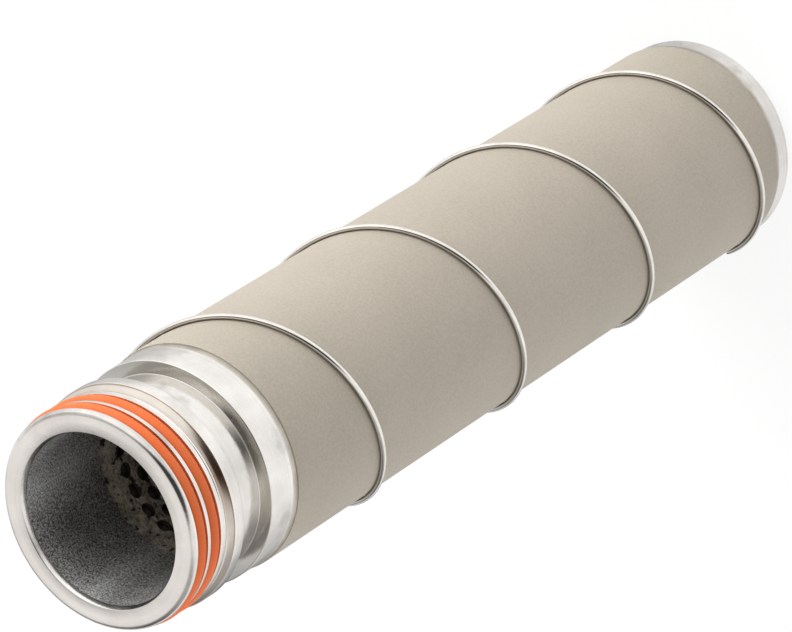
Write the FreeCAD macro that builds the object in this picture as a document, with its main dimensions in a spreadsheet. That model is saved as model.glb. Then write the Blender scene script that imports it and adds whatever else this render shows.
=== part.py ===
import FreeCAD, Part
import Sketcher
import math
import os

# Oil filter cartridge of stainless steel: a turned double seal spigot, a perforated core,
# a coarse drainage mesh, a filter mesh sleeve, a spiral guard wire and a closed end cap.
# It stands on the cap: Z = 0 is the cap's outer face, and the open spigot points up.

document = FreeCAD.newDocument("filter_cartridge")
V = FreeCAD.Vector

# Driving sizes in millimetres. A depth is measured down from the spigot's open face.
driving_sizes = [
    ("overall_length", 275.0, "cap face to open face"),
    ("bore_radius", 22.2, "oil passage through the fitting"),
    ("mouth_radius", 22.8, "bore where it meets the open face"),
    ("mouth_depth", 1.5, "depth of the bore's lead-in"),
    ("land_radius", 28.3, "spigot between and beside the seals"),
    ("gland_start", 1.5, "depth of the first seal groove, where the bull nose ends"),
    ("gland_width", 4.0, "width of each seal groove"),
    ("gland_pitch", 5.2, "from one seal groove to the next"),
    ("gland_floor_radius", 25.2, "bottom of the seal grooves"),
    ("seal_section", 3.53, "thickness of the seal rings"),
    ("seal_seat_gap", 0.02, "seal ring over its groove's floor"),
    ("relief_start", 13.2, "depth of the relief groove"),
    ("relief_radius", 27.9, "floor of the relief groove"),
    ("flange_start", 14.9, "depth of the stop flange"),
    ("flange_width", 3.7, "thickness of the stop flange"),
    ("flange_radius", 29.4, "stop flange"),
    ("neck_radius", 25.9, "neck behind the stop flange"),
    ("shoulder_start", 29.9, "depth of the collar's front face"),
    ("collar_length", 10.4, "collar in front of the mesh"),
    ("collar_radius", 29.4, "collar"),
    ("lip_length", 6.0, "lip that carries the sleeve, at both ends"),
    ("core_seat_depth", 30.6, "depth at which the core seats"),
    ("core_step", 0.3, "core inside radius over the bore"),
    ("core_wall", 1.5, "wall of the perforated core"),
    ("hole_width", 6.0, "holes of the core, across corners"),
    ("hole_columns", 4, "holes around one ring of the core"),
    ("hole_rings", 5, "rings of holes along the core"),
    ("hole_margin", 8.4, "first and last ring of holes from the core's ends"),
    ("drain_thickness", 3.2, "drainage mesh"),
    ("layer_clearance", 0.1, "slip fit between the layers and in the seats"),
    ("sleeve_thickness", 2.6, "filter mesh sleeve"),
    ("cap_radius", 29.4, "end cap"),
    ("cap_height", 7.3, "end cap below the mesh"),
    ("cap_floor", 3.0, "thickness of the cap's disc"),
    ("cap_chamfer", 0.6, "edge of the cap's outer face"),
    ("wire_section", 1.5, "guard wire"),
    ("wire_turns", 3.685, "turns of the guard wire"),
    ("wire_start_angle", 170.6, "azimuth of the wire's lower end"),
    ("wire_first_climb", 0.87, "slope of the wire's lower end over its mean slope"),
    ("wire_spread", 0.23, "growth of that slope up the cartridge"),
    ("wire_seat_gap", 0.03, "guard wire over the mesh"),
]

sheet = document.addObject("Spreadsheet::Sheet", "Sizes")
for row, (alias, value, meaning) in enumerate(driving_sizes, start=1):
    sheet.set(f"A{row}", meaning)
    sheet.set(f"B{row}", str(value))
    sheet.setAlias(f"B{row}", alias)
document.recompute()

# Places and fits worked out from the driving sizes
top = "Sizes.overall_length"
relief_top = f"{top} - Sizes.relief_start"
flange_top = f"{top} - Sizes.flange_start"
flange_bottom = f"{flange_top} - Sizes.flange_width"
shoulder = f"{top} - Sizes.shoulder_start"
sleeve_top = f"{shoulder} - Sizes.collar_length"
upper_lip_end = f"{sleeve_top} - Sizes.lip_length"
core_top = f"{top} - Sizes.core_seat_depth"
sleeve_bottom = "Sizes.cap_height"
lower_lip_end = f"{sleeve_bottom} + Sizes.lip_length"
core_inner = "Sizes.bore_radius + Sizes.core_step"
core_outer = f"{core_inner} + Sizes.core_wall"
seat_radius = f"{core_outer} + Sizes.layer_clearance"
lip_radius = f"{seat_radius} + Sizes.drain_thickness"
sleeve_inner = f"{lip_radius} + Sizes.layer_clearance"
sleeve_outer = f"{sleeve_inner} + Sizes.sleeve_thickness"


def size(expression):
    """Number that an expression on the sheet has now."""
    value = sheet.evalExpression(expression)
    return float(getattr(value, "Value", value))


def origin_feature(body, role):
    """One of a body's own origin planes or axes."""
    return next(item for item in body.Origin.OriginFeatures if item.Role == role)


def new_body(label):
    body = document.addObject("PartDesign::Body", label)
    body.Label = label
    return body


def upright_sketch(body, name):
    """Sketch on the body's XZ plane: its X is the radius and its Y the height."""
    sketch = body.newObject("Sketcher::SketchObject", name)
    sketch.AttachmentSupport = [(origin_feature(body, "XZ_Plane"), "")]
    sketch.MapMode = "FlatFace"
    return sketch


def place_point(sketch, line, across, up):
    """Holds a line's first point at a distance across and up from the origin."""
    for kind, expression in (("DistanceX", across), ("DistanceY", up)):
        value = size(expression)
        index = sketch.addConstraint(Sketcher.Constraint(kind, -1, 1, line, 1, value))
        sketch.setExpression(f"Constraints[{index}]", expression)


def polygon_corners(sides, corner_radius, across, up, first_angle):
    """Corners of a regular polygon about a centre, as expressions."""
    corners = []
    for corner in range(sides):
        angle = math.radians(first_angle + corner * 360 / sides)
        corners.append((f"{across} + {corner_radius} * {math.cos(angle):.5f}",
                        f"{up} + {corner_radius} * {math.sin(angle):.5f}"))
    return corners


def add_outline(sketch, corners):
    """Closed outline through corners given as (across, up) expressions."""
    points = [V(size(across), size(up), 0) for across, up in corners]
    count = len(points)
    lines = []
    for index in range(count):
        line = Part.LineSegment(points[index], points[(index + 1) % count])
        lines.append(sketch.addGeometry(line))
    for index in range(count):
        following = lines[(index + 1) % count]
        sketch.addConstraint(Sketcher.Constraint("Coincident", lines[index], 2, following, 1))
    for line, (across, up) in zip(lines, corners):
        place_point(sketch, line, across, up)


def revolve(body, name, corners, kind="PartDesign::Revolution"):
    """Turned form, or turned cut, of an outline about the Z axis."""
    profile = upright_sketch(body, name + "_outline")
    add_outline(profile, corners)
    feature = body.newObject(kind, name)
    feature.Profile = profile
    feature.ReferenceAxis = (origin_feature(body, "Z_Axis"), [""])
    feature.Angle = 360
    document.recompute()
    body.Tip = feature
    return feature


def round_edges(feature, circles):
    """Names of the feature's full circles at the given (radius, height) expressions."""
    names = []
    for radius, height in circles:
        for number, edge in enumerate(feature.Shape.Edges, start=1):
            curve = edge.Curve
            if not isinstance(curve, Part.Circle):
                continue
            same_radius = abs(curve.Radius - size(radius)) < 1e-4
            same_height = abs(curve.Center.z - size(height)) < 1e-4
            if same_radius and same_height:
                names.append(f"Edge{number}")
    return names


def dress(body, kind, name, base, circles, amount_name, amount):
    """Fillet or chamfer on the turned edges of a feature."""
    feature = body.newObject(kind, name)
    feature.Base = (base, round_edges(base, circles))
    feature.setExpression(amount_name, amount)
    document.recompute()
    body.Tip = feature
    return feature


def make_fitting():
    """Turned end fitting: spigot, stop flange, neck, collar and the lip in the sleeve."""
    body = new_body("spigot_fitting")
    # Two flats stand for the rounding of the nose
    nose = []
    for angle in (0, 45, 90):
        inward = 1 - math.sin(math.radians(angle))
        downward = 1 - math.cos(math.radians(angle))
        nose.append((f"Sizes.land_radius - Sizes.gland_start * {inward:.5f}",
                     f"{top} - Sizes.gland_start * {downward:.5f}"))
    turned = revolve(body, "turned_blank", [
        ("Sizes.mouth_radius", top),
        *nose,
        ("Sizes.land_radius", relief_top),
        ("Sizes.relief_radius", relief_top),
        ("Sizes.relief_radius", flange_top),
        ("Sizes.flange_radius", flange_top),
        ("Sizes.flange_radius", flange_bottom),
        ("Sizes.neck_radius", flange_bottom),
        ("Sizes.neck_radius", shoulder),
        ("Sizes.collar_radius", shoulder),
        ("Sizes.collar_radius", sleeve_top),
        (lip_radius, sleeve_top),
        (lip_radius, upper_lip_end),
        (seat_radius, upper_lip_end),
        (seat_radius, core_top),
        ("Sizes.bore_radius", core_top),
        ("Sizes.bore_radius", f"{top} - Sizes.mouth_depth"),
    ])
    blank_volume = turned.Shape.Volume
    gland_top = f"{top} - Sizes.gland_start"
    gland_bottom = f"{gland_top} - Sizes.gland_width"
    past_land = "Sizes.land_radius + Sizes.seal_section"
    gland = revolve(body, "seal_groove", [
        ("Sizes.gland_floor_radius", gland_top),
        (past_land, gland_top),
        (past_land, gland_bottom),
        ("Sizes.gland_floor_radius", gland_bottom),
    ], kind="PartDesign::Groove")
    one_gland = blank_volume - gland.Shape.Volume
    if one_gland <= 0:
        raise RuntimeError("the seal groove cuts nothing")
    glands = body.newObject("PartDesign::LinearPattern", "seal_grooves")
    glands.Originals = [gland]
    glands.Direction = (origin_feature(body, "Z_Axis"), [""])
    glands.Reversed = True
    glands.Occurrences = 2
    glands.setExpression("Length", "Sizes.gland_pitch")
    document.recompute()
    body.Tip = glands
    print("fitting", round(blank_volume), "blank,", round(one_gland), "in each groove")
    return body


def make_seals():
    """Two like seal rings, each seated on its groove's floor. Eight flats make the round section."""
    sides = 8
    half_side_angle = 180 / sides
    seal_radius = "Sizes.seal_section / 2"
    ring_radius = f"Sizes.gland_floor_radius + {seal_radius} + Sizes.seal_seat_gap"
    corner_radius = f"{seal_radius} / {math.cos(math.radians(half_side_angle)):.5f}"
    seals = []
    for number, label in enumerate(("upper_seal_ring", "lower_seal_ring")):
        depth = f"Sizes.gland_start + Sizes.gland_width / 2 + {number} * Sizes.gland_pitch"
        body = new_body(label)
        section = polygon_corners(sides, corner_radius, ring_radius, f"{top} - ({depth})",
                                  half_side_angle)
        revolve(body, label + "_section", section)
        seals.append(body)
    return seals


def make_core():
    """Perforated core tube: staggered rings of holes, each hole with six sides."""
    sides = 6
    body = new_body("core_tube")
    bottom = "Sizes.cap_floor"
    tube = revolve(body, "rolled_tube", [
        (core_inner, bottom),
        (core_outer, bottom),
        (core_outer, core_top),
        (core_inner, core_top),
    ])
    rings = round(size("Sizes.hole_rings"))
    pitch = f"({core_top} - {bottom} - 2 * Sizes.hole_margin) / (Sizes.hole_rings - 1)"
    columns = []
    for side, name in enumerate(("even_rings", "odd_rings")):
        sketch = upright_sketch(body, name + "_holes")
        turned = FreeCAD.Rotation(V(0, 1, 0), 1)
        sketch.AttachmentOffset = FreeCAD.Placement(V(0, 0, 0), turned)
        sketch.setExpression("AttachmentOffset.Rotation.Angle", f"{side} * 180 / Sizes.hole_columns")
        for ring in range(side, rings, 2):
            height = f"{core_top} - Sizes.hole_margin - {ring} * {pitch}"
            add_outline(sketch, polygon_corners(sides, "Sizes.hole_width / 2", "0", height, 0))
        document.recompute()
        before = body.Tip.Shape.Volume
        pocket = body.newObject("PartDesign::Pocket", name)
        pocket.Profile = sketch
        pocket.setExpression("Length", f"{core_outer} + Sizes.core_wall")
        document.recompute()
        body.Tip = pocket
        if pocket.Shape.Volume >= before:
            raise RuntimeError("the holes of the core cut nothing")
        columns.append(pocket)
    pattern = body.newObject("PartDesign::PolarPattern", "perforation")
    pattern.Originals = columns
    pattern.Axis = (origin_feature(body, "Z_Axis"), [""])
    pattern.Angle = 360
    pattern.setExpression("Occurrences", "Sizes.hole_columns")
    document.recompute()
    body.Tip = pattern
    print("core", round(tube.Shape.Volume), "tube,", round(pattern.Shape.Volume), "perforated")
    return body


def make_tube(label, inner, outer, bottom, height):
    """Plain sleeve between two radii."""
    outside = document.addObject("Part::Cylinder", label + "_outside")
    outside.setExpression("Radius", outer)
    outside.setExpression("Height", height)
    inside = document.addObject("Part::Cylinder", label + "_inside")
    inside.setExpression("Radius", inner)
    inside.setExpression("Height", height)
    sleeve = document.addObject("Part::Cut", label)
    sleeve.Label = label
    sleeve.Base = outside
    sleeve.Tool = inside
    sleeve.setExpression("Placement.Base.z", bottom)
    return sleeve


def make_cap():
    """Closed end cap: a disc with the core's seat and the lip that carries the sleeve."""
    body = new_body("end_cap")
    turned = revolve(body, "turned_cap", [
        ("0", "0"),
        ("Sizes.cap_radius", "0"),
        ("Sizes.cap_radius", sleeve_bottom),
        (lip_radius, sleeve_bottom),
        (lip_radius, lower_lip_end),
        (seat_radius, lower_lip_end),
        (seat_radius, "Sizes.cap_floor"),
        ("0", "Sizes.cap_floor"),
    ])
    dress(body, "PartDesign::Chamfer", "cap_edge", turned,
          [("Sizes.cap_radius", "0")], "Size", "Sizes.cap_chamfer")
    return body


def wire_point(share, radius, lowest, rise):
    """Point of the wire's centre line at a share of its turns from the lower end."""
    first = size("Sizes.wire_first_climb")
    spread = size("Sizes.wire_spread")
    climb = first * share + spread * share ** 2 + (1 - first - spread) * share ** 3
    angle = math.radians(size("Sizes.wire_start_angle") + 360 * size("Sizes.wire_turns") * share)
    return V(radius * math.cos(angle), radius * math.sin(angle), lowest + rise * climb)


def make_wire():
    """Guard wire wound on the sleeve, right handed, its turns spreading towards the spigot.

    Its section has six flats, one of them on the sleeve, and it runs straight between
    stations, so the stations stand far enough out for the straight runs to clear the sleeve.
    """
    sides = 6
    stations_per_turn = 28
    section = size("Sizes.wire_section") / 2
    turns = size("Sizes.wire_turns")
    stations = round(turns * stations_per_turn)
    half_step = math.radians(180 * turns / stations)
    seated = size(sleeve_outer) + size("Sizes.wire_seat_gap") + section * math.cos(math.pi / sides)
    radius = seated / math.cos(half_step)
    lowest = size(sleeve_bottom) + section
    rise = size(sleeve_top) - section - lowest
    line = [wire_point(index / stations, radius, lowest, rise) for index in range(stations + 1)]
    sections = []
    for index, centre in enumerate(line):
        along = line[min(index + 1, stations)] - line[max(index - 1, 0)]
        outward = V(centre.x, centre.y, 0).normalize()
        sideways = along.cross(outward).normalize()
        corners = []
        for corner in range(sides):
            angle = math.radians((corner + 0.5) * 360 / sides)
            corners.append(centre + outward * (section * math.cos(angle))
                           + sideways * (section * math.sin(angle)))
        sections.append(Part.makePolygon(corners + [corners[0]]))
    wire = document.addObject("Part::Feature", "spiral_wire")
    wire.Label = "spiral_wire"
    wire.Shape = Part.makeLoft(sections, True, True)
    wire.Placement = FreeCAD.Placement()
    length = sum(line[index].distanceToPoint(line[index + 1]) for index in range(stations))
    print("wire", round(length, 1), "long")
    return wire


parts = [make_fitting()]
parts += make_seals()
parts.append(make_core())
parts.append(make_tube("drainage_mesh", seat_radius, lip_radius,
                       f"{lower_lip_end} + Sizes.layer_clearance",
                       f"{upper_lip_end} - ({lower_lip_end}) - 2 * Sizes.layer_clearance"))
parts.append(make_tube("filter_sleeve", sleeve_inner, sleeve_outer,
                       sleeve_bottom, f"{sleeve_top} - ({sleeve_bottom})"))
parts.append(make_wire())
parts.append(make_cap())
document.recompute()

for item in document.Objects:
    if "Invalid" in item.State or "Error" in item.State:
        raise RuntimeError(f"{item.Name} failed: {item.State}")

os.makedirs("parts", exist_ok=True)
for part in parts:
    shape = part.Shape
    if shape.isNull() or not shape.isValid():
        raise RuntimeError(f"{part.Label} has no valid shape")
    shape.exportStep(f"parts/{part.Label}.step")
    print(part.Label, len(shape.Solids), "solid,", len(shape.Faces), "faces,", round(shape.Volume), "mm3")
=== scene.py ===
import bpy
import math
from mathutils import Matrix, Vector


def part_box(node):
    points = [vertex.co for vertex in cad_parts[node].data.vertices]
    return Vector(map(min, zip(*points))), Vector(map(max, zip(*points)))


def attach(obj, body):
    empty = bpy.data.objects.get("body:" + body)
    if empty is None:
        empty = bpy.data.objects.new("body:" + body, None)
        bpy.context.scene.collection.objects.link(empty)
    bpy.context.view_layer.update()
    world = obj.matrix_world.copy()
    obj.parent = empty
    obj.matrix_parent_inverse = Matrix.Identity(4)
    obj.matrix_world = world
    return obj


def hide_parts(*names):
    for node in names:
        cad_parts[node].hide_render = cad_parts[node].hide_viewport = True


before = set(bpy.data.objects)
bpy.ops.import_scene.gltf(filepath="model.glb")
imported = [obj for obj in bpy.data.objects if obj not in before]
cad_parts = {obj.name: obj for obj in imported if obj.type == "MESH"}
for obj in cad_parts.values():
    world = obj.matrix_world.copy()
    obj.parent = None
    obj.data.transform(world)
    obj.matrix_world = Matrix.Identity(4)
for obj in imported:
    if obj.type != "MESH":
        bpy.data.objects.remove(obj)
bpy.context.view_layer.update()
mm = 0.001
fullTurn = 2 * math.pi

# the cartridge stands on its cap, its axis is Z and its open spigot points up
fittingLow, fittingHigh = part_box("spigot_fitting")
sleeveLow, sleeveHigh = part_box("filter_sleeve")
coreLow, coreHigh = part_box("core_tube")
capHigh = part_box("end_cap")[1]
openFace = fittingHigh.z / mm      # heights and radii are in millimetres from here on
fittingEnd = fittingLow.z / mm
sleeveTop = sleeveHigh.z / mm
sleeveBottom = sleeveLow.z / mm
lipTop = capHigh.z / mm
sleeveRadius = sleeveHigh.x / mm
collarRadius = fittingHigh.x / mm
print("frame loaded,", len(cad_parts), "nodes, cartridge", round(openFace, 1), "mm long")


# working steps

def clearSelection():
    if bpy.context.mode != "OBJECT":
        bpy.ops.object.mode_set(mode="OBJECT")
    bpy.ops.object.select_all(action="DESELECT")


def selectOnly(piece):
    clearSelection()
    piece.select_set(True)
    bpy.context.view_layer.objects.active = piece


def editPiece(piece):
    selectOnly(piece)
    bpy.ops.object.mode_set(mode="EDIT")


def startPicking(kind):
    bpy.ops.object.mode_set(mode="EDIT")
    bpy.ops.mesh.select_mode(type=kind)
    bpy.ops.mesh.select_all(action="DESELECT")
    bpy.ops.object.mode_set(mode="OBJECT")


def pickPoints(piece, wanted):
    # selects the points whose place passes the test, and nothing else
    startPicking("VERT")
    for point in piece.data.vertices:
        point.select = wanted(point.co)
    bpy.ops.object.mode_set(mode="EDIT")


def pickFaces(piece, wanted):
    # selects the faces whose middle passes the test, and nothing else
    startPicking("FACE")
    for face in piece.data.polygons:
        face.select = wanted(face.center)
    bpy.ops.object.mode_set(mode="EDIT")


def closeUp(piece, smoothAngle=40):
    # merges doubled points, turns the faces outward and shades what is rounded smooth
    editPiece(piece)
    bpy.ops.mesh.select_all(action="SELECT")
    bpy.ops.mesh.remove_doubles(threshold=0.002 * mm)
    bpy.ops.mesh.normals_make_consistent(inside=False)
    selectOnly(piece)
    bpy.ops.object.shade_smooth_by_angle(angle=math.radians(smoothAngle))


def turnOnLathe(name, corners, aroundSteps):
    # draws half a section corner by corner, rounds its corners and spins it about Z;
    # each corner is a radius, a height, a rounding and the steps of that rounding
    near = 0.001 * mm
    clearSelection()
    bpy.ops.mesh.primitive_plane_add(size=mm, location=(0, 0, 0))
    piece = bpy.context.object
    piece.name = name
    piece.data.name = name
    bpy.ops.object.mode_set(mode="EDIT")
    bpy.ops.mesh.select_mode(type="VERT")
    bpy.ops.mesh.select_all(action="SELECT")
    bpy.ops.mesh.merge(type="CENTER")
    places = [Vector((corner[0] * mm, 0, corner[1] * mm)) for corner in corners]
    bpy.ops.transform.translate(value=places[0])
    for here, there in zip(places, places[1:]):
        bpy.ops.mesh.extrude_region_move(TRANSFORM_OT_translate={"value": there - here})
    ends = (places[0], places[-1])
    pickPoints(piece, lambda place: min((place - end).length for end in ends) < near)
    bpy.ops.mesh.edge_face_add()
    for here, corner in zip(places, corners):
        rounding, steps = corner[2:]
        if rounding:
            pickPoints(piece, lambda place: (place - here).length < near)
            bpy.ops.mesh.bevel(affect="VERTICES", offset=rounding * mm, segments=steps)
    bpy.ops.mesh.select_all(action="SELECT")
    bpy.ops.mesh.spin(steps=aroundSteps, angle=fullTurn, center=(0, 0, 0), axis=(0, 0, 1))
    closeUp(piece)
    return piece


def finishPiece(piece, node):
    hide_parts(node)
    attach(piece, "root")


def aroundAxis(place):
    return math.hypot(place.x, place.y) / mm


# shader node helpers

def newGroup(name, inputs, outputs):
    group = bpy.data.node_groups.new(name, "ShaderNodeTree")
    for label, kind, value in inputs:
        socket = group.interface.new_socket(name=label, in_out="INPUT", socket_type=kind)
        socket.default_value = value
    for label, kind in outputs:
        group.interface.new_socket(name=label, in_out="OUTPUT", socket_type=kind)
    return group, group.nodes.new("NodeGroupInput"), group.nodes.new("NodeGroupOutput")


def addMath(tree, operation, first, second=None, third=None):
    node = tree.nodes.new("ShaderNodeMath")
    node.operation = operation
    for index, value in enumerate((first, second, third)):
        if isinstance(value, (int, float)):
            node.inputs[index].default_value = value
        elif value is not None:
            tree.links.new(value, node.inputs[index])
    return node.outputs[0]


def addNoise(tree, vector, scale, detail, roughness=0.5):
    node = tree.nodes.new("ShaderNodeTexNoise")
    node.inputs["Detail"].default_value = detail
    node.inputs["Roughness"].default_value = roughness
    tree.links.new(vector, node.inputs["Vector"])
    if isinstance(scale, (int, float)):
        node.inputs["Scale"].default_value = scale
    else:
        tree.links.new(scale, node.inputs["Scale"])
    return node.outputs["Fac"]


def addRange(tree, value, fromLow, fromHigh, toLow, toHigh):
    node = tree.nodes.new("ShaderNodeMapRange")
    tree.links.new(value, node.inputs["Value"])
    node.inputs["From Min"].default_value = fromLow
    node.inputs["From Max"].default_value = fromHigh
    node.inputs["To Min"].default_value = toLow
    node.inputs["To Max"].default_value = toHigh
    return node.outputs["Result"]


def addMix(tree, factor, first, second):
    node = tree.nodes.new("ShaderNodeMix")
    node.data_type = "RGBA"
    tree.links.new(factor, node.inputs["Factor"])
    for socket, value in ((node.inputs["A"], first), (node.inputs["B"], second)):
        if isinstance(value, tuple):
            socket.default_value = (*value, 1)
        else:
            tree.links.new(value, socket)
    return node.outputs["Result"]


def weighShades(tree, first, firstShare, second, secondShare):
    return addMath(tree, "MULTIPLY_ADD", first, firstShare,
                   addMath(tree, "MULTIPLY", second, secondShare))


def splitPlace(tree):
    # X, Y and Z of a point on the piece
    split = tree.nodes.new("ShaderNodeSeparateXYZ")
    tree.links.new(tree.nodes.new("ShaderNodeTexCoord").outputs["Object"], split.inputs[0])
    return split.outputs


def axisDistance(tree, place):
    squares = [addMath(tree, "MULTIPLY", place[axis], place[axis]) for axis in ("X", "Y")]
    return addMath(tree, "SQRT", addMath(tree, "ADD", *squares))


def axisAngle(tree, place):
    return addMath(tree, "ARCTAN2", place["Y"], place["X"])


def markAround(tree, angle, mark):
    # full strength at the mark's angle about the axis, fading to nothing at its half width
    away = addMath(tree, "ABSOLUTE", addMath(tree, "SUBTRACT", angle, mark["angle"]))
    return addRange(tree, away, 0, mark["halfWidth"], mark["strength"], 0)


def makeTurningMarks():
    # fine rings left by the tool: they follow the radius on faces and the height on cylinders
    pattern = {"fineDetail": 3, "fineShare": 0.4,
               "broadScale": 0.13, "broadDetail": 2, "broadShare": 0.6}
    group, given, result = newGroup(
        "turningMarks",
        [("Rings per metre", "NodeSocketFloat", 9000), ("Waviness", "NodeSocketFloat", 30)],
        [("Height", "NodeSocketFloat"), ("Shade", "NodeSocketFloat")])
    place = splitPlace(group)
    along = addMath(group, "ADD", axisDistance(group, place), place["Z"])
    scaled = addMath(group, "MULTIPLY", along, given.outputs["Rings per metre"])
    join = group.nodes.new("ShaderNodeCombineXYZ")
    group.links.new(scaled, join.inputs["X"])
    for axis, side in (("X", "Y"), ("Y", "Z")):
        drift = addMath(group, "MULTIPLY", place[axis], given.outputs["Waviness"])
        group.links.new(drift, join.inputs[side])
    fine = addNoise(group, join.outputs[0], 1.0, pattern["fineDetail"])
    broad = addNoise(group, join.outputs[0], pattern["broadScale"], pattern["broadDetail"])
    shade = weighShades(group, broad, pattern["broadShare"], fine, pattern["fineShare"])
    group.links.new(fine, result.inputs["Height"])
    group.links.new(shade, result.inputs["Shade"])
    return group


def makeHandMarks():
    # soft uneven patches of handling and cleaning
    pattern = {"detail": 4, "roughness": 0.6, "contrast": (0.35, 0.7)}
    group, given, result = newGroup(
        "handMarks",
        [("Patch scale", "NodeSocketFloat", 60)],
        [("Mask", "NodeSocketFloat")])
    coordinates = group.nodes.new("ShaderNodeTexCoord").outputs["Object"]
    patches = addNoise(group, coordinates, given.outputs["Patch scale"],
                       pattern["detail"], pattern["roughness"])
    group.links.new(addRange(group, patches, *pattern["contrast"], 0, 1), result.inputs["Mask"])
    return group


def makeBlastGrain():
    # pits of a blasted surface
    pattern = {"detail": 4, "roughness": 0.7, "contrast": (0.43, 0.57)}
    group, given, result = newGroup(
        "blastGrain",
        [("Grain scale", "NodeSocketFloat", 2600)],
        [("Height", "NodeSocketFloat"), ("Shade", "NodeSocketFloat")])
    coordinates = group.nodes.new("ShaderNodeTexCoord").outputs["Object"]
    grain = addNoise(group, coordinates, given.outputs["Grain scale"],
                     pattern["detail"], pattern["roughness"])
    group.links.new(grain, result.inputs["Height"])
    group.links.new(addRange(group, grain, *pattern["contrast"], 0, 1), result.inputs["Shade"])
    return group


def makeWeave():
    # over and under weave of wires, in whole cells around the axis
    pattern = {"gapRange": (0.1, 0.45)}
    group, given, result = newGroup(
        "wovenWire",
        [("Cells around", "NodeSocketFloat", 600), ("Cell height", "NodeSocketFloat", 0.0003)],
        [("Height", "NodeSocketFloat"), ("Gap", "NodeSocketFloat")])
    place = splitPlace(group)
    cellsPerRadian = addMath(group, "DIVIDE", given.outputs["Cells around"], fullTurn)
    across = addMath(group, "MULTIPLY", axisAngle(group, place), cellsPerRadian)
    up = addMath(group, "DIVIDE", place["Z"], given.outputs["Cell height"])
    acrossWave, upWave = [addMath(group, "SINE", addMath(group, "MULTIPLY", cells, math.pi))
                          for cells in (across, up)]
    crossing = addMath(group, "MULTIPLY", acrossWave, upWave)
    ridgeAcross = addMath(group, "ABSOLUTE", acrossWave)
    ridgeUp = addMath(group, "ABSOLUTE", upWave)
    over = addMath(group, "MULTIPLY", ridgeAcross, addMath(group, "ADD", crossing, 1))
    under = addMath(group, "MULTIPLY", ridgeUp, addMath(group, "SUBTRACT", 1, crossing))
    height = addMath(group, "MULTIPLY", addMath(group, "MAXIMUM", over, under), 0.5)
    group.links.new(height, result.inputs["Height"])
    group.links.new(addRange(group, height, *pattern["gapRange"], 1, 0), result.inputs["Gap"])
    return group


turningMarks = makeTurningMarks()
handMarks = makeHandMarks()
blastGrain = makeBlastGrain()
wovenWire = makeWeave()
print("shader groups made")


def newMaterial(name, **values):
    # a material whose plain values go straight onto its sockets
    material = bpy.data.materials.new(name)
    material.use_nodes = True
    tree = material.node_tree
    surface = tree.nodes["Principled BSDF"]
    for label, value in values.items():
        surface.inputs[label.replace("_", " ")].default_value = value
    return material, tree, surface


def addGroup(tree, group, **values):
    node = tree.nodes.new("ShaderNodeGroup")
    node.node_tree = group
    for label, value in values.items():
        node.inputs[label.replace("_", " ")].default_value = value
    return node.outputs


def addBump(tree, surface, height, depth, strength=1.0, under=None):
    bump = tree.nodes.new("ShaderNodeBump")
    bump.inputs["Distance"].default_value = depth
    bump.inputs["Strength"].default_value = strength
    tree.links.new(height, bump.inputs["Height"])
    if under is not None:
        tree.links.new(under, bump.inputs["Normal"])
    tree.links.new(bump.outputs["Normal"], surface.inputs["Normal"])
    return bump.outputs["Normal"]


def makeTurnedSteel(name, bright, dull, smudged):
    look = {"smudge": (0.40, 0.385, 0.365), "smudgeScale": 46, "smudgeRange": (0.55, 1.0),
            "ringsPerMetre": 9000, "waviness": 30, "markShare": 0.5, "markDepth": 0.0000035,
            "patchScale": 70, "patchShare": 0.35, "wornRange": (0.22, 0.66),
            "roughRange": (0.1, 0.7), "roughness": (0.09, 0.22),
            "dentScale": 190, "dentDepth": 0.000026}
    material, tree, surface = newMaterial(name, Metallic=1)
    marks = addGroup(tree, turningMarks, Rings_per_metre=look["ringsPerMetre"],
                     Waviness=look["waviness"])
    patches = addGroup(tree, handMarks, Patch_scale=look["patchScale"])
    mixed = weighShades(tree, patches["Mask"], look["patchShare"], marks["Shade"],
                        look["markShare"])
    worn = addRange(tree, mixed, *look["wornRange"], 0, 1)
    smudges = addGroup(tree, handMarks, Patch_scale=look["smudgeScale"])
    stainAndPaintedShade = addRange(tree, smudges["Mask"], *look["smudgeRange"], 0, smudged)
    colour = addMix(tree, stainAndPaintedShade, addMix(tree, worn, bright, dull), look["smudge"])
    tree.links.new(colour, surface.inputs["Base Color"])
    roughness = addRange(tree, mixed, *look["roughRange"], *look["roughness"])
    tree.links.new(roughness, surface.inputs["Roughness"])
    dents = addGroup(tree, handMarks, Patch_scale=look["dentScale"])
    uneven = addBump(tree, surface, dents["Mask"], look["dentDepth"])
    addBump(tree, surface, marks["Height"], look["markDepth"], under=uneven)
    return material


def makeFacedSteel(name, light, dark, roughness, paintedShade=None):
    # faces left as cut by the tool; where painted shade is given, a brown painted shade covers a
    # part of the way round, standing in for a dark reflection
    look = {"ringsPerMetre": 5000, "waviness": 20, "markShare": 0.6, "markDepth": 0.000008,
            "patchScale": 90, "patchShare": 0.4}
    material, tree, surface = newMaterial(name, Metallic=1, Roughness=roughness)
    marks = addGroup(tree, turningMarks, Rings_per_metre=look["ringsPerMetre"],
                     Waviness=look["waviness"])
    patches = addGroup(tree, handMarks, Patch_scale=look["patchScale"])
    mixed = weighShades(tree, patches["Mask"], look["patchShare"], marks["Shade"],
                        look["markShare"])
    colour = addMix(tree, mixed, light, dark)
    if paintedShade:
        stainAndPaintedShade = markAround(tree, axisAngle(tree, splitPlace(tree)), paintedShade)
        colour = addMix(tree, stainAndPaintedShade, colour, paintedShade["colour"])
    tree.links.new(colour, surface.inputs["Base Color"])
    addBump(tree, surface, marks["Height"], look["markDepth"])
    return material


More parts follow.
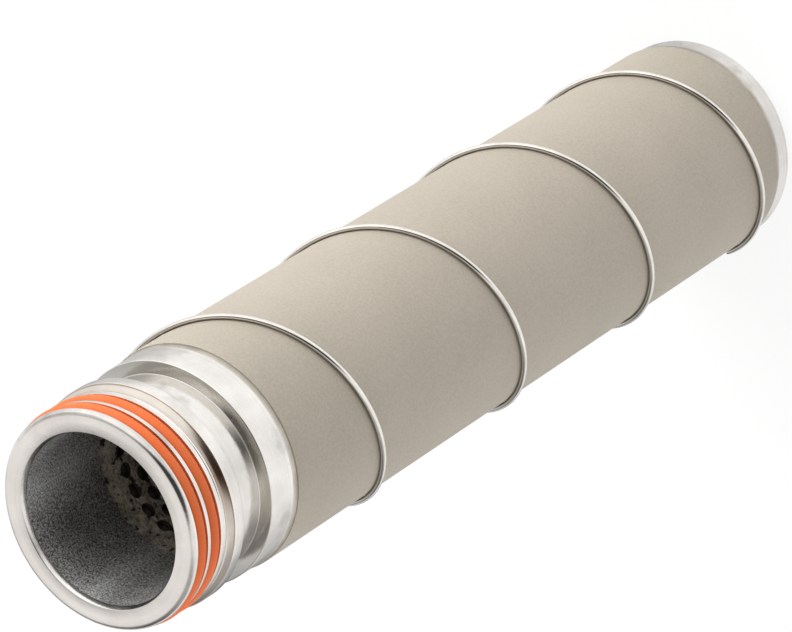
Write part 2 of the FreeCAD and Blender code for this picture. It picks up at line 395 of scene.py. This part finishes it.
def makeBlastedBore():
    # grey and grainy, with two lighter streaks of painted reflection and a darker streak of painted
    # shade along the bore
    look = {"light": (0.98, 0.985, 0.99), "dark": (0.14, 0.13, 0.12), "level": -0.136,
            "grainScale": 2400, "grainShare": 0.748, "pitDepth": 0.00016,
            "patchScale": 75, "patchShare": 0.204,
            "paintedLightAndShade": ({"angle": 0.90, "halfWidth": 0.40, "strength": 0.38},
                        {"angle": 1.52, "halfWidth": 0.34, "strength": -0.13},
                        {"angle": 2.23, "halfWidth": 0.30, "strength": 0.30})}
    material, tree, surface = newMaterial("blastedBore", Metallic=0.75, Roughness=0.62)
    grain = addGroup(tree, blastGrain, Grain_scale=look["grainScale"])
    patches = addGroup(tree, handMarks, Patch_scale=look["patchScale"])
    mixed = addMath(tree, "ADD", look["level"],
                    weighShades(tree, patches["Mask"], look["patchShare"], grain["Shade"],
                                look["grainShare"]))
    # painted reflection and painted shade, set by the angle about the axis
    angle = axisAngle(tree, splitPlace(tree))
    for paintedStreak in look["paintedLightAndShade"]:
        mixed = addMath(tree, "ADD", mixed, markAround(tree, angle, paintedStreak))
    tree.links.new(addMix(tree, mixed, look["dark"], look["light"]), surface.inputs["Base Color"])
    addBump(tree, surface, grain["Height"], look["pitDepth"])
    return material


def makeWeldSeam():
    # bright beside the turned steel, darker beside the mesh with painted shade along the join
    look = {"light": (0.72, 0.68, 0.62), "dark": (0.34, 0.30, 0.25), "width": 0.0019,
            "patchScale": 160, "patchShare": 0.4,
            "ringsPerMetre": 2500, "waviness": 900, "rippleDepth": 0.00003}
    material, tree, surface = newMaterial("weldSeam", Metallic=1, Roughness=0.38)
    marks = addGroup(tree, turningMarks, Rings_per_metre=look["ringsPerMetre"],
                     Waviness=look["waviness"])
    patches = addGroup(tree, handMarks, Patch_scale=look["patchScale"])
    height = splitPlace(tree)["Z"]
    edges = ((sleeveTop * mm, look["width"]), (sleeveBottom * mm, -look["width"]))
    # painted shade: darker towards each join with the mesh
    paintedJoinShade = addMath(tree, "MINIMUM", *[addRange(tree, height, edge, edge + away, 1, 0)
                                       for edge, away in edges])
    uneven = addMath(tree, "SUBTRACT", patches["Mask"], 0.5)
    mixed = addMath(tree, "MULTIPLY_ADD", uneven, look["patchShare"], paintedJoinShade)
    tree.links.new(addMix(tree, mixed, look["light"], look["dark"]), surface.inputs["Base Color"])
    addBump(tree, surface, marks["Height"], look["rippleDepth"])
    return material


def makeSinteredMesh():
    look = {"light": (0.424, 0.372, 0.312), "dark": (0.346, 0.314, 0.253),
            "roughness": (0.5, 0.6), "patchScale": 22, "patchShare": 0.5,
            "grainScale": 1500, "grainShare": 0.5,
            "cellsAround": 760, "cellHeight": 0.00025, "weaveDepth": 0.00004, "weaveStrength": 0.6}
    material, tree, surface = newMaterial("sinteredMesh", Metallic=0.2, Specular_IOR_Level=0.75)
    weave = addGroup(tree, wovenWire, Cells_around=look["cellsAround"],
                     Cell_height=look["cellHeight"])
    patches = addGroup(tree, handMarks, Patch_scale=look["patchScale"])
    grain = addGroup(tree, blastGrain, Grain_scale=look["grainScale"])
    mixed = weighShades(tree, patches["Mask"], look["patchShare"], grain["Shade"],
                        look["grainShare"])
    tree.links.new(addMix(tree, mixed, look["light"], look["dark"]), surface.inputs["Base Color"])
    roughness = addRange(tree, mixed, 0, 1, *look["roughness"])
    tree.links.new(roughness, surface.inputs["Roughness"])
    addBump(tree, surface, weave["Height"], look["weaveDepth"], strength=look["weaveStrength"])
    return material


def makeGuardWire():
    # drawn steel, with painted shade where it lies on the mesh
    look = {"light": (0.91, 0.875, 0.83), "dark": (0.76, 0.72, 0.67), "roughness": (0.045, 0.10),
            "paintedContactShade": (0.20, 0.18, 0.155), "paintedContactReach": (0.00015, 0.0008), "patchScale": 120,
            "ringsPerMetre": 12000, "waviness": 200, "scratchDepth": 0.000002}
    material, tree, surface = newMaterial("drawnWire", Metallic=1)
    marks = addGroup(tree, turningMarks, Rings_per_metre=look["ringsPerMetre"],
                     Waviness=look["waviness"])
    patches = addGroup(tree, handMarks, Patch_scale=look["patchScale"])
    fromMesh = addMath(tree, "SUBTRACT", axisDistance(tree, splitPlace(tree)), sleeveRadius * mm)
    # painted contact shade on the side of the wire that lies on the mesh
    paintedContactMask = addRange(tree, fromMesh, *look["paintedContactReach"], 1, 0)
    steel = addMix(tree, patches["Mask"], look["light"], look["dark"])
    tree.links.new(addMix(tree, paintedContactMask, steel, look["paintedContactShade"]), surface.inputs["Base Color"])
    roughness = addRange(tree, patches["Mask"], 0, 1, *look["roughness"])
    tree.links.new(roughness, surface.inputs["Roughness"])
    addBump(tree, surface, marks["Height"], look["scratchDepth"])
    return material


def makeSealRubber():
    look = {"fresh": (0.68, 0.118, 0.022), "dusty": (0.63, 0.15, 0.045),
            "roughness": (0.46, 0.62), "patchScale": 130, "patchShare": 0.6,
            "grainScale": 1800, "grainShare": 0.3, "grainDepth": 0.00002}
    material, tree, surface = newMaterial("sealRubber", Specular_IOR_Level=0.3)
    grain = addGroup(tree, blastGrain, Grain_scale=look["grainScale"])
    patches = addGroup(tree, handMarks, Patch_scale=look["patchScale"])
    mixed = weighShades(tree, patches["Mask"], look["patchShare"], grain["Shade"],
                        look["grainShare"])
    tree.links.new(addMix(tree, mixed, look["fresh"], look["dusty"]), surface.inputs["Base Color"])
    roughness = addRange(tree, mixed, 0, 1, *look["roughness"])
    tree.links.new(roughness, surface.inputs["Roughness"])
    addBump(tree, surface, grain["Height"], look["grainDepth"])
    return material


def makeCoreSteel():
    # brownish and crusty on the inside face, with painted shade in the walls of the holes
    look = {"light": (0.99, 0.90, 0.76), "dark": (0.20, 0.155, 0.115),
            "hole": (0.07, 0.058, 0.047), "face": 0.0225, "holeDepth": 0.0003,
            "patchScale": 330, "patchShare": 0.6, "crustScale": 480, "crustRange": (0.62, 0.74),
            "grainScale": 1100, "grainShare": 0.4, "grainDepth": 0.00012}
    material, tree, surface = newMaterial("coreSteel", Metallic=0.5, Roughness=0.6)
    grain = addGroup(tree, blastGrain, Grain_scale=look["grainScale"])
    patches = addGroup(tree, handMarks, Patch_scale=look["patchScale"])
    crust = addGroup(tree, handMarks, Patch_scale=look["crustScale"])
    mixed = weighShades(tree, patches["Mask"], look["patchShare"], grain["Shade"],
                        look["grainShare"])
    paintedHoleShade = addRange(tree, axisDistance(tree, splitPlace(tree)), look["face"],
                      look["face"] + look["holeDepth"], 0, 1)
    pitted = addRange(tree, crust["Mask"], *look["crustRange"], 0, 1)
    face = addMix(tree, mixed, look["light"], look["dark"])
    # the crust's pits, and painted shade in the walls of the holes
    dark = addMath(tree, "MAXIMUM", paintedHoleShade, pitted)
    tree.links.new(addMix(tree, dark, face, look["hole"]), surface.inputs["Base Color"])
    addBump(tree, surface, grain["Height"], look["grainDepth"])
    return material


def makeCoarseMesh():
    look = {"wire": (0.12, 0.10, 0.085), "paintedGapShade": (0.03, 0.025, 0.02),
            "cellsAround": 110, "cellHeight": 0.0014, "weaveDepth": 0.0004}
    material, tree, surface = newMaterial("coarseMesh", Metallic=0.9, Roughness=0.5)
    weave = addGroup(tree, wovenWire, Cells_around=look["cellsAround"],
                     Cell_height=look["cellHeight"])
    # painted shade in the gaps between the wires
    colour = addMix(tree, weave["Gap"], look["wire"], look["paintedGapShade"])
    tree.links.new(colour, surface.inputs["Base Color"])
    addBump(tree, surface, weave["Height"], look["weaveDepth"])
    return material


turnedSteel = makeTurnedSteel("turnedSteel", bright=(0.91, 0.885, 0.855), dull=(0.69, 0.655, 0.61),
                              smudged=0.7)
smoothFace = makeTurnedSteel("smoothFace", bright=(0.90, 0.85, 0.805), dull=(0.83, 0.78, 0.73),
                             smudged=0.1)
# faced finish, with its colours darkened as painted shade on the shoulder and the flange's
# underside
facedSteelPaintedShade = makeFacedSteel("facedSteelPaintedShade", light=(0.74, 0.715, 0.67), dark=(0.58, 0.555, 0.515),
                            roughness=0.11)
# the relief: brown painted shade over a part of the way round, standing in for a dark reflection
paintedShadeSteel = makeFacedSteel("paintedShadeSteel", light=(0.84, 0.785, 0.72), dark=(0.62, 0.56, 0.485),
                              roughness=0.22,
                              paintedShade={"angle": -1.78, "halfWidth": 0.52, "strength": 0.9,
                                     "colour": (0.27, 0.165, 0.09)})
blastedBore = makeBlastedBore()
weldSeam = makeWeldSeam()
sinteredMesh = makeSinteredMesh()
drawnWire = makeGuardWire()
sealRubber = makeSealRubber()
coreSteel = makeCoreSteel()
coarseMesh = makeCoarseMesh()
print("materials made")


# how far the middle of a face may lie from the edge of its zone, in millimetres
onFace, margin, wellOutside = 0.05, 0.1, 0.5


def paintZone(piece, material, wanted):
    # gives the faces of one zone a material of their own
    piece.data.materials.append(material)
    editPiece(piece)
    pickFaces(piece, wanted)
    piece.active_material_index = len(piece.data.materials) - 1
    bpy.ops.object.material_slot_assign()
    clearSelection()


# depths are measured down from the open face
fitting = {"boreRadius": 22.2, "mouthRadius": 22.8, "mouthDepth": 1.5,
           "landRadius": 28.3, "noseRound": 1.38,
           "grooveStarts": (1.5, 6.7), "grooveWidth": 4.0, "grooveFloor": 25.2,
           "lineMiddle": 12.02, "lineDepth": 0.12,
           "reliefStart": 12.9, "reliefRadius": 27.9, "reliefSlope": 1.15,
           "flangeStart": 14.9, "flangeEnd": 18.6, "neckRadius": 25.9, "neckEnd": 29.9,
           "weldStart": 38.4, "weldRound": 0.6, "weldMiddle": (39.3, 29.55), "weldRadius": 29.8,
           "lipRadius": 27.3, "seatRadius": 24.1, "seatDepth": 30.6,
           "edgeBreak": 0.15, "cornerRound": 0.5, "aroundSteps": 224}


def depthOf(place):
    return openFace - place.z / mm


def makeFitting():
    size = fitting
    edge = size["edgeBreak"]
    sleeveDepth = openFace - sleeveTop
    endDepth = openFace - fittingEnd
    weldEdge = size["weldStart"] + size["weldRound"] / 2
    reliefWidth = size["flangeStart"] - size["reliefStart"]
    corners = [(size["mouthRadius"], 0, 0.12, 2), (size["landRadius"], 0, size["noseRound"], 10)]
    for start in size["grooveStarts"]:
        end = start + size["grooveWidth"]
        corners += [(size["landRadius"], start, edge, 2), (size["grooveFloor"], start, 0.3, 3),
                    (size["grooveFloor"], end, 0.3, 3), (size["landRadius"], end, edge, 2)]
    corners += [
        (size["landRadius"], size["lineMiddle"] - size["lineDepth"], 0, 1),
        (size["landRadius"] - size["lineDepth"], size["lineMiddle"], 0, 1),
        (size["landRadius"], size["lineMiddle"] + size["lineDepth"], 0, 1),
        (size["landRadius"], size["reliefStart"], edge, 2),
        (size["reliefRadius"], size["reliefStart"], 0, 1),
        (size["reliefRadius"], size["flangeStart"] - size["reliefSlope"], 0.4, 4),
        (size["reliefRadius"] + size["reliefSlope"], size["flangeStart"], 0.2, 3),
        (collarRadius, size["flangeStart"], 0.25, 3),
        (collarRadius, size["flangeEnd"], 0.25, 3),
        (size["neckRadius"], size["flangeEnd"], size["cornerRound"], 5),
        (size["neckRadius"], size["neckEnd"], 0.25, 4),
        (collarRadius, size["neckEnd"], 0.3, 3),
        (collarRadius, size["weldStart"], size["weldRound"], 4),
        (size["weldMiddle"][1], size["weldMiddle"][0], 0.5, 4),
        (size["weldRadius"], sleeveDepth, 0.2, 3),
        (size["lipRadius"], sleeveDepth, 0, 1),
        (size["lipRadius"], endDepth, 0.3, 2),
        (size["seatRadius"], endDepth, 0.3, 2),
        (size["seatRadius"], size["seatDepth"], 0, 1),
        (size["boreRadius"], size["seatDepth"], 0.15, 2),
        (size["boreRadius"], size["mouthDepth"], 0.2, 2)]
    corners = [(radius, openFace - depth, *rounding) for radius, depth, *rounding in corners]
    piece = turnOnLathe("fittingTurned", corners, size["aroundSteps"])
    piece.data.materials.append(turnedSteel)
    paintZone(piece, blastedBore,
              lambda place: depthOf(place) > size["mouthDepth"] + margin
              and aroundAxis(place) < size["boreRadius"] + margin)
    paintZone(piece, weldSeam,
              lambda place: weldEdge < depthOf(place) < sleeveDepth + margin
              and aroundAxis(place) > size["lipRadius"] + wellOutside)
    paintZone(piece, smoothFace,
              lambda place: depthOf(place) < onFace and aroundAxis(place) > size["mouthRadius"])
    # the shoulder and the flange's underside get the faced steel with painted shade
    for depth in (size["neckEnd"], size["flangeEnd"]):
        paintZone(piece, facedSteelPaintedShade,
                  lambda place: abs(depthOf(place) - depth) < onFace
                  and aroundAxis(place) > size["neckRadius"])
    paintZone(piece, paintedShadeSteel,
              lambda place: onFace < depthOf(place) - size["reliefStart"] < reliefWidth + onFace
              and aroundAxis(place) > size["reliefRadius"] - margin)
    finishPiece(piece, "spigot_fitting")
    print("fitting turned,", len(piece.data.polygons), "faces")


seal = {"section": 3.53, "floor": 25.22, "partingLine": 0.03, "partingWidth": 0.18,
        "aroundSteps": 224, "sectionSteps": 32}


def makeSeal(name, node, depth):
    size = seal
    near = 0.001
    minor = size["section"] / 2
    height = (openFace - depth) * mm
    clearSelection()
    bpy.ops.mesh.primitive_torus_add(
        major_segments=size["aroundSteps"], minor_segments=size["sectionSteps"],
        major_radius=(size["floor"] + minor) * mm, minor_radius=minor * mm, location=(0, 0, height))
    piece = bpy.context.object
    piece.name = name
    piece.data.name = name
    bpy.ops.object.transform_apply(location=True, rotation=True, scale=True)
    outside = size["floor"] + size["section"] - near
    editPiece(piece)
    pickPoints(piece, lambda place: aroundAxis(place) > outside)       # the mould's parting line
    bpy.ops.mesh.bevel(affect="EDGES", offset=size["partingWidth"] / 2 * mm, segments=2)
    pickPoints(piece, lambda place: aroundAxis(place) > outside)
    stretch = 1 + size["partingLine"] / outside
    bpy.ops.transform.resize(value=(stretch, stretch, 1), center_override=(0, 0, height))
    closeUp(piece, smoothAngle=60)
    piece.data.materials.append(sealRubber)
    finishPiece(piece, node)
    print(name, "made,", len(piece.data.polygons), "faces")


core = {"radius": 22.5, "wall": 1.5, "holesAround": 25, "rings": 44, "ringPitch": 5.2,
        "firstRing": 8.4, "holeRadius": 2.0, "holeSides": 16, "smoothAngle": 40}


def makeCore():
    # a flat strip of holes is copied into a sheet, and the sheet is rolled up
    size = core
    near = 0.01 * mm
    top, bottom = coreHigh.z, coreLow.z
    cellWide = fullTurn * size["radius"] * mm / size["holesAround"]
    cellHigh = size["ringPitch"] * mm
    firstHeight = top - size["firstRing"] * mm
    clearSelection()
    bpy.ops.mesh.primitive_grid_add(x_subdivisions=2, y_subdivisions=2, size=1, location=(0, 0, 0))
    piece = bpy.context.object
    piece.name = "corePerforated"
    piece.data.name = "corePerforated"
    editPiece(piece)
    bpy.ops.mesh.select_all(action="SELECT")
    bpy.ops.transform.resize(value=(cellWide, cellHigh, 1), center_override=(0, 0, 0))
    pickPoints(piece, lambda place: place.length < near)
    bpy.ops.mesh.delete(type="VERT")
    bpy.ops.mesh.primitive_circle_add(vertices=size["holeSides"], radius=size["holeRadius"] * mm,
                                      fill_type="NOTHING", location=(0, 0, 0))
    bpy.ops.mesh.select_all(action="SELECT")
    bpy.ops.mesh.bridge_edge_loops()
    bpy.ops.mesh.select_all(action="SELECT")
    bpy.ops.mesh.duplicate_move(TRANSFORM_OT_translate={"value": (cellWide / 2, -cellHigh, 0)})
    selectOnly(piece)
    copies = ((size["holesAround"], (cellWide, 0, 0)), (size["rings"] // 2, (0, -2 * cellHigh, 0)))
    for number, (count, offset) in enumerate(copies):
        repeat = piece.modifiers.new(f"repeat{number}", "ARRAY")
        repeat.count = count
        repeat.use_relative_offset = False
        repeat.use_constant_offset = True
        repeat.constant_offset_displace = offset
        bpy.ops.object.modifier_apply(modifier=repeat.name)
    editPiece(piece)
    bpy.ops.mesh.select_all(action="SELECT")
    bpy.ops.mesh.remove_doubles(threshold=near)
    firstRow = cellHigh / 2
    lastRow = -(size["rings"] - 0.5) * cellHigh
    pickPoints(piece, lambda place: place.y > firstRow - near)         # plain band above the holes
    bpy.ops.mesh.extrude_region_move(
        TRANSFORM_OT_translate={"value": (0, top - firstHeight - firstRow, 0)})
    pickPoints(piece, lambda place: place.y < lastRow + near)          # and below them
    bpy.ops.mesh.extrude_region_move(
        TRANSFORM_OT_translate={"value": (0, bottom - firstHeight - lastRow, 0)})
    bpy.ops.object.mode_set(mode="OBJECT")
    radius = size["radius"] * mm
    for point in piece.data.vertices:
        angle = point.co.x / radius
        point.co = (radius * math.cos(angle), radius * math.sin(angle), firstHeight + point.co.y)
    closeUp(piece, size["smoothAngle"])
    wall = piece.modifiers.new("wall", "SOLIDIFY")
    wall.thickness = size["wall"] * mm
    wall.offset = 1
    bpy.ops.object.modifier_apply(modifier="wall")
    bpy.ops.object.shade_smooth_by_angle(angle=math.radians(size["smoothAngle"]))
    piece.data.materials.append(coreSteel)
    finishPiece(piece, "core_tube")
    print("core rolled,", len(piece.data.polygons), "faces")


sleeve = {"inside": 27.4, "edgeRound": 0.25, "aroundSteps": 256, "rings": 60}


def makeSleeve():
    size = sleeve
    corners = [(size["inside"], sleeveTop, 0, 1), (sleeveRadius, sleeveTop, size["edgeRound"], 3)]
    for ring in range(1, size["rings"]):
        share = ring / size["rings"]
        corners.append((sleeveRadius, sleeveTop + (sleeveBottom - sleeveTop) * share, 0, 1))
    corners += [(sleeveRadius, sleeveBottom, size["edgeRound"], 3),
                (size["inside"], sleeveBottom, 0, 1)]
    piece = turnOnLathe("meshSleeve", corners, size["aroundSteps"])
    piece.data.materials.append(sinteredMesh)
    finishPiece(piece, "filter_sleeve")
    print("mesh sleeve made,", len(piece.data.polygons), "faces")


wire = {"section": 1.5, "turns": 3.685, "startAngle": 170.6, "firstClimb": 0.87, "spread": 0.23,
        "seatGap": 0.03, "stationsPerTurn": 96, "sectionSteps": 6}


def makeWire():
    # the turns spread towards the spigot
    size = wire
    half = size["section"] / 2
    radius = sleeveRadius + half + size["seatGap"]
    low, high = sleeveBottom + half, sleeveTop - half
    count = round(size["turns"] * size["stationsPerTurn"])
    line = bpy.data.curves.new("guardWire", "CURVE")
    line.dimensions = "3D"
    spline = line.splines.new("POLY")
    spline.points.add(count)
    for number, point in enumerate(spline.points):
        share = number / count
        climb = size["firstClimb"] * share + size["spread"] * share ** 2
        climb += (1 - size["firstClimb"] - size["spread"]) * share ** 3
        angle = math.radians(size["startAngle"]) + fullTurn * size["turns"] * share
        point.co = (radius * mm * math.cos(angle), radius * mm * math.sin(angle),
                    (low + (high - low) * climb) * mm, 1)
    line.bevel_depth = half * mm
    line.bevel_resolution = size["sectionSteps"]
    line.use_fill_caps = True
    piece = bpy.data.objects.new("guardWire", line)
    bpy.context.scene.collection.objects.link(piece)
    selectOnly(piece)
    bpy.ops.object.convert(target="MESH")
    piece = bpy.context.object
    piece.data.name = "guardWire"
    closeUp(piece, smoothAngle=60)
    piece.data.materials.append(drawnWire)
    finishPiece(piece, "spiral_wire")
    print("guard wire wound,", len(piece.data.polygons), "faces")


cap = {"radius": 29.4, "edgeRound": 0.6, "discThickness": 3.0, "lipRadius": 27.3,
       "seatRadius": 24.1, "weldRadius": 29.75, "weldWidth": 1.6, "weldFoot": 0.5,
       "aroundSteps": 224}


def makeCap():
    size = cap
    weldBottom = sleeveBottom - size["weldWidth"]
    weldFoot = weldBottom - size["weldFoot"]
    corners = [
        (0, 0, 0, 1),
        (size["radius"], 0, size["edgeRound"], 5),
        (size["radius"], weldFoot, 0.1, 2),
        (size["weldRadius"], weldBottom, 0.3, 3),
        (size["weldRadius"], sleeveBottom, 0.3, 3),
        (size["lipRadius"], sleeveBottom, 0, 1),
        (size["lipRadius"], lipTop, 0.3, 2),
        (size["seatRadius"], lipTop, 0.3, 2),
        (size["seatRadius"], size["discThickness"], 0.3, 2),
        (0, size["discThickness"], 0, 1)]
    piece = turnOnLathe("endCap", corners, size["aroundSteps"])
    piece.data.materials.append(turnedSteel)
    paintZone(piece, weldSeam,
              lambda place: weldFoot < place.z / mm < sleeveBottom + margin
              and aroundAxis(place) > size["lipRadius"] + wellOutside)
    finishPiece(piece, "end_cap")
    print("end cap turned,", len(piece.data.polygons), "faces")


def dressDrainage():
    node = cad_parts["drainage_mesh"]
    node.data.materials.clear()
    node.data.materials.append(coarseMesh)


makeFitting()
seals = (("sealUpper", "upper_seal_ring"), ("sealLower", "lower_seal_ring"))
for (name, node), grooveStart in zip(seals, fitting["grooveStarts"]):
    makeSeal(name, node, grooveStart + fitting["grooveWidth"] / 2)
makeCore()
makeSleeve()
makeWire()
makeCap()
dressDrainage()


# stage: a pale floor in a white room that fades overhead, and two soft lamps

stage = {"floorSize": 4.0, "floorColour": (0.95, 0.95, 0.945), "floorOwnShare": 0.2,
         "floorBright": 1.05, "roomColour": (1.0, 0.99, 0.975),
         "keySide": (0.84, -0.22, 0.49), "roomReach": (-0.2, 0.9), "roomStrengths": (0.90, 1.2),
         "overheadReach": (0.1, 0.9), "overheadShare": 0.45,
         "mirroredReach": (0.45, 0.95), "mirroredRoom": (1.06, 1.5),
         "darkTurn": (26, 0, -13), "darkHalfWidths": (0.40, 0.80, 1000), "darkEdge": (0.76, 1.20),
         "darkLevel": 0.06}
dimSides = (          # where the mirrored room is dim: direction, cosines of its reach, level
    ((-0.416, 0.893, 0.174), (0.78, 0.95), 0.35),
    ((-0.742, 0.520, 0.423), (0.72, 0.90), 0.50),
    ((0.532, 0.447, 0.719), (0.87, 0.96), 0.60))
floorShades = (       # what metal mirrors of the floor: place, radius and how much darker
    ((0.0, 0.55), 0.64, 0.90),
    ((-0.09, 0.24), 0.26, 0.15),
    ((-0.42, 0.34), 0.62, 0.40),
    ((-0.05, 0.21), 0.16, 0.40),
    ((-0.05, 0.075), 0.075, 0.50),
    ((0.50, 0.32), 0.60, 0.08),
    ((-0.12, -0.21), 0.12, 0.26),
    ((0.18, 0.12), 0.14, 0.30),
    ((-0.18, 0.12), 0.12, 0.12),
    ((0.028, -0.016), 0.022, 0.22),
    ((-0.0115, -0.033), 0.012, 0.27))


def addSpot(tree, coordinates, place, radius):
    # 1 in the middle of a round spot, falling softly to 0 at its radius
    mapping = tree.nodes.new("ShaderNodeMapping")
    mapping.vector_type = "TEXTURE"
    mapping.inputs["Location"].default_value = (*place, 0)
    mapping.inputs["Scale"].default_value = (radius, radius, 1)
    tree.links.new(coordinates, mapping.inputs["Vector"])
    spot = tree.nodes.new("ShaderNodeTexGradient")
    spot.gradient_type = "QUADRATIC_SPHERE"
    tree.links.new(mapping.outputs[0], spot.inputs["Vector"])
    return addMath(tree, "SQRT", spot.outputs["Fac"])


def makeFloor():
    # a camera sees it nearly white, metal mirrors it with its shades, and lamps light it plainly
    clearSelection()
    bpy.ops.mesh.primitive_plane_add(size=stage["floorSize"], location=(0, 0, 0))
    floor = bpy.context.object
    floor.name = "floor"
    material, tree, surface = newMaterial("paleFloor", Base_Color=(*stage["floorColour"], 1),
                                          Roughness=0.9, Specular_IOR_Level=0.1)
    coordinates = tree.nodes.new("ShaderNodeTexCoord").outputs["Object"]
    rays = tree.nodes.new("ShaderNodeLightPath").outputs
    level = stage["floorBright"]
    for place, radius, amount in floorShades:
        shade = addMath(tree, "MULTIPLY", addSpot(tree, coordinates, place, radius), amount)
        level = addMath(tree, "SUBTRACT", level, shade)
    change = addMath(tree, "SUBTRACT", level, 1)
    white = tree.nodes.new("ShaderNodeEmission")
    tree.links.new(addMath(tree, "MULTIPLY_ADD", change, rays["Is Glossy Ray"], 1),
                   white.inputs["Strength"])
    seen = addMath(tree, "MAXIMUM", rays["Is Camera Ray"],
                   addMath(tree, "MAXIMUM", rays["Is Glossy Ray"], rays["Is Transmission Ray"]))
    share = addMath(tree, "MULTIPLY", seen, 1 - stage["floorOwnShare"])
    mixed = mixShaders(tree, share, surface.outputs[0], white.outputs[0])
    tree.links.new(mixed, tree.nodes["Material Output"].inputs["Surface"])
    floor.data.materials.append(material)


def addVectorMath(tree, operation, first, second=None):
    node = tree.nodes.new("ShaderNodeVectorMath")
    node.operation = operation
    tree.links.new(first, node.inputs[0])
    if second:
        node.inputs[1].default_value = second
    return node.outputs["Value"]


def mixShaders(tree, factor, first, second):
    node = tree.nodes.new("ShaderNodeMixShader")
    tree.links.new(factor, node.inputs["Fac"])
    tree.links.new(first, node.inputs[1])
    tree.links.new(second, node.inputs[2])
    return node.outputs[0]


def makeRoom():
    # the lighting room is plain, metal mirrors a room with dark and dim places in it,
    # and a camera sees white
    world = bpy.data.worlds.new("room")
    bpy.context.scene.world = world
    world.use_nodes = True
    tree = world.node_tree
    plain = tree.nodes["Background"]
    plain.inputs["Color"].default_value = (*stage["roomColour"], 1)
    direction = tree.nodes.new("ShaderNodeTexCoord").outputs["Generated"]
    side = addVectorMath(tree, "DOT_PRODUCT", direction, stage["keySide"])
    height = tree.nodes.new("ShaderNodeSeparateXYZ")
    tree.links.new(direction, height.inputs[0])
    overhead = addRange(tree, height.outputs["Z"], *stage["overheadReach"],
                        1, stage["overheadShare"])
    sides = addRange(tree, side, *stage["roomReach"], *stage["roomStrengths"])
    tree.links.new(addMath(tree, "MULTIPLY", sides, overhead), plain.inputs["Strength"])

    # one tall dark place where the camera stands
    mapping = tree.nodes.new("ShaderNodeMapping")
    mapping.vector_type = "TEXTURE"
    mapping.inputs["Rotation"].default_value = [math.radians(turn) for turn in stage["darkTurn"]]
    mapping.inputs["Scale"].default_value = stage["darkHalfWidths"]
    tree.links.new(direction, mapping.inputs["Vector"])
    distance = addVectorMath(tree, "LENGTH", mapping.outputs[0])
    outside = addRange(tree, distance, *stage["darkEdge"], 0, 1)
    brightSide = addRange(tree, side, *stage["mirroredReach"], *stage["mirroredRoom"])
    level = addMath(tree, "MULTIPLY_ADD", outside, brightSide, stage["darkLevel"])
    for place, reach, dimLevel in dimSides:
        near = addVectorMath(tree, "DOT_PRODUCT", direction, place)
        level = addMath(tree, "MULTIPLY", level, addRange(tree, near, *reach, 1, dimLevel))
    mirrored = tree.nodes.new("ShaderNodeBackground")
    tree.links.new(level, mirrored.inputs["Strength"])

    white = tree.nodes.new("ShaderNodeBackground")
    white.inputs["Color"].default_value = (1, 1, 1, 1)
    rays = tree.nodes.new("ShaderNodeLightPath").outputs
    unseen = mixShaders(tree, rays["Is Glossy Ray"], plain.outputs[0], mirrored.outputs[0])
    seen = addMath(tree, "MAXIMUM", rays["Is Camera Ray"], rays["Is Transmission Ray"])
    room = mixShaders(tree, seen, unseen, white.outputs[0])
    tree.links.new(room, tree.nodes["World Output"].inputs["Surface"])


lamps = {
    "keyLamp": {"place": (1.30, -0.07, 0.66), "size": 1.6, "watts": 26},
    "fillLamp": {"place": (-1.02, 0.59, 0.62), "size": 1.2, "watts": 10}}
lampTarget = Vector((0, 0, 0.14))


def makeLamp(name, place, size, watts):
    light = bpy.data.lights.new(name, "AREA")
    light.shape = "DISK"
    light.size = size
    light.energy = watts
    lamp = bpy.data.objects.new(name, light)
    bpy.context.scene.collection.objects.link(lamp)
    lamp.location = place
    lamp.visible_glossy = False       # the bright side of the room is what metal mirrors
    aim = lampTarget - Vector(place)
    lamp.rotation_euler = aim.to_track_quat("-Z", "Y").to_euler()


cameraView = {"place": (0, -0.88256, 1.15131), "turn": (-25.0824, 33.8953, -130.2324),
              "lens": 238.53, "sensor": 36}


def makeCamera():
    camera = bpy.data.objects.new("camera", bpy.data.cameras.new("camera"))
    bpy.context.scene.collection.objects.link(camera)
    camera.location = cameraView["place"]
    camera.rotation_euler = [math.radians(turn) for turn in cameraView["turn"]]
    camera.data.lens = cameraView["lens"]
    camera.data.sensor_width = cameraView["sensor"]
    bpy.context.scene.camera = camera


makeFloor()
makeRoom()
for name, settings in lamps.items():
    makeLamp(name, **settings)
makeCamera()
bpy.context.scene.view_settings.view_transform = "Standard"
print("stage, lamps and camera set")
